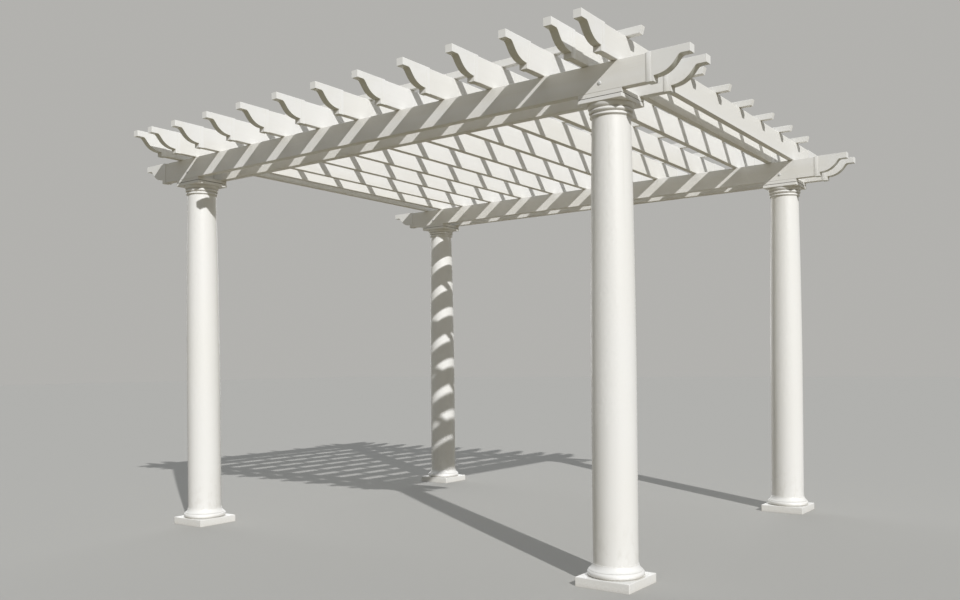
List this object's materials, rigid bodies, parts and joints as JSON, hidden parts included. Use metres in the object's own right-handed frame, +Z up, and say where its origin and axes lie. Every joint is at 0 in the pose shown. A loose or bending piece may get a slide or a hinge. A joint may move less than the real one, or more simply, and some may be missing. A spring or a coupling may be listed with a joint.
{
  "type": "pergola",
  "caption": "Open garden pergola with round tapered columns, doubled beams, ogee-ended rafters and square slats laid across the top.",
  "frame": {"origin": "on the ground at the centre of the four columns", "axes": "+X along the beams towards the right-hand columns, +Y from the front beam to the back beam, +Z up"},
  "size_m": [4.195, 3.657, 2.734],
  "materials": {
    "column_shaft_white": "smooth white moulded shell, satin",
    "column_trim_white": "smooth white moulded trim, satin",
    "bearing_block_white": "white board, satin",
    "beam_board_white": "white extruded board, satin",
    "rafter_white": "white extruded board, satin",
    "end_cap_white": "white moulded cap, satin",
    "slat_white": "white extruded square bar, satin",
    "fastener_steel": "galvanised bolts and screws, slightly dulled"
  },
  "bodies": {
    "root": {"back_beam_caps_left": "end_cap_white", "back_beam_caps_right": "end_cap_white", "back_beam_inner": "beam_board_white", "back_beam_outer": "beam_board_white", "beam_spacers": "beam_board_white", "bearing_block_back_left": "bearing_block_white", "bearing_block_back_right": "bearing_block_white", "bearing_block_front_left": "bearing_block_white", "bearing_block_front_right": "bearing_block_white", "column_base_back_left": "column_trim_white", "column_base_back_right": "column_trim_white", "column_base_front_left": "column_trim_white", "column_base_front_right": "column_trim_white", "column_capital_back_left": "column_trim_white", "column_capital_back_right": "column_trim_white", "column_capital_front_left": "column_trim_white", "column_capital_front_right": "column_trim_white", "column_shaft_back_left": "column_shaft_white", "column_shaft_back_right": "column_shaft_white", "column_shaft_front_left": "column_shaft_white", "column_shaft_front_right": "column_shaft_white", "front_beam_caps_left": "end_cap_white", "front_beam_caps_right": "end_cap_white", "front_beam_inner": "beam_board_white", "front_beam_outer": "beam_board_white", "rafter_01": "rafter_white", "rafter_02": "rafter_white", "rafter_03": "rafter_white", "rafter_04": "rafter_white", "rafter_05": "rafter_white", "rafter_06": "rafter_white", "rafter_07": "rafter_white", "rafter_08": "rafter_white", "rafter_09": "rafter_white", "rafter_10": "rafter_white", "rafter_11": "rafter_white", "rafter_12": "rafter_white", "rafter_13": "rafter_white", "rafter_caps_back": "end_cap_white", "rafter_caps_front": "end_cap_white", "slat_01": "slat_white", "slat_02": "slat_white", "slat_03": "slat_white", "slat_04": "slat_white", "slat_05": "slat_white", "slat_06": "slat_white", "slat_07": "slat_white", "slat_08": "slat_white"}
  },
  "joints": []
}
